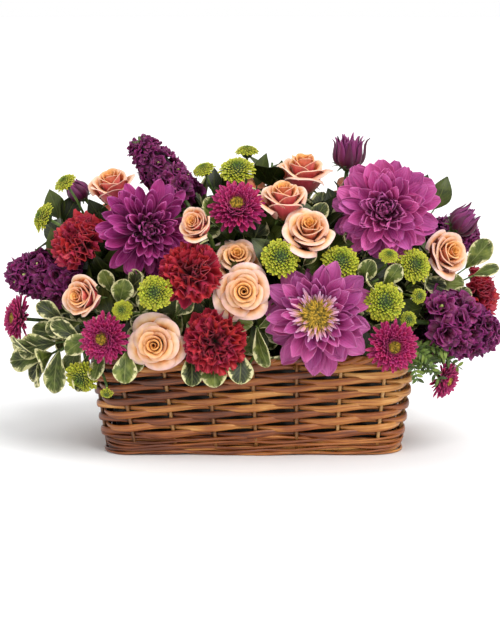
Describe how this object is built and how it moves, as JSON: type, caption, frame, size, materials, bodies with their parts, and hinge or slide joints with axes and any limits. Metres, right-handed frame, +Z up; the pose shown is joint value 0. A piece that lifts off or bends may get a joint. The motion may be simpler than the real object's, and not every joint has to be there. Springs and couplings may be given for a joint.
{
  "type": "flower basket arrangement",
  "caption": "Low mound of mixed garden flowers and foliage standing in soaked floral foam, in a lined rectangular willow basket.",
  "frame": {"origin": "middle of the basket's flat underside, on the surface it stands on", "axes": "+X along the basket's long side to its right end, +Y towards its back, +Z up"},
  "size_m": [0.5085, 0.336, 0.3208],
  "materials": {
    "willow": "satin",
    "liner": "satin",
    "foam": "matte",
    "dahlia_petal": "matte",
    "dahlia_bud": "matte",
    "rose_petal": "matte",
    "carnation_petal": "matte",
    "aster_petal": "matte",
    "pom_floret": "matte",
    "stock_floret": "matte",
    "pittosporum_leaf": "satin",
    "salal_leaf": "satin"
  },
  "bodies": {
    "root": {"basket_base": "willow", "basket_foot_wale": "willow", "basket_wall": "willow", "basket_rim": "willow", "plastic_liner": "liner", "floral_foam": "foam", "dahlia_left": "dahlia_petal", "dahlia_right": "dahlia_petal", "dahlia_front": "dahlia_petal", "dahlia_back_left": "dahlia_petal", "dahlia_back_right": "dahlia_petal", "dahlia_bud_top": "dahlia_bud", "dahlia_bud_right": "dahlia_bud", "dahlia_bud_left": "dahlia_bud", "rose_top": "rose_petal", "rose_upper": "rose_petal", "rose_mid_right": "rose_petal", "rose_small": "rose_petal", "rose_behind": "rose_petal", "rose_centre": "rose_petal", "rose_front_left": "rose_petal", "rose_left": "rose_petal", "rose_top_left": "rose_petal", "rose_right": "rose_petal", "carnation_left": "carnation_petal", "carnation_centre": "carnation_petal", "carnation_front": "carnation_petal", "carnation_right": "carnation_petal", "carnation_back": "carnation_petal", "aster_top": "aster_petal", "aster_left": "aster_petal", "aster_far_left": "aster_petal", "aster_right": "aster_petal", "aster_low_right": "aster_petal", "pom_spray_far_left": "pom_floret", "pom_spray_top": "pom_floret", "pom_spray_left": "pom_floret", "pom_spray_right": "pom_floret", "pom_spray_far_right": "pom_floret", "pom_spray_low_left": "pom_floret", "pom_spray_back": "pom_floret", "aster_spray_back": "aster_petal", "spray_rose_back_left": "rose_petal", "spray_rose_back_right": "rose_petal", "pittosporum_low_left": "pittosporum_leaf", "pittosporum_front_left": "pittosporum_leaf", "pittosporum_front": "pittosporum_leaf", "pittosporum_right": "pittosporum_leaf", "pittosporum_far_right": "pittosporum_leaf", "pittosporum_low_right": "pittosporum_leaf", "salal_left": "salal_leaf", "salal_top": "salal_leaf", "pittosporum_back_left": "pittosporum_leaf", "pittosporum_back": "pittosporum_leaf", "pittosporum_back_right": "pittosporum_leaf", "salal_back": "salal_leaf", "stock_top": "stock_floret", "stock_left": "stock_floret", "stock_right": "stock_floret", "stock_back": "stock_floret"}
  },
  "joints": []
}
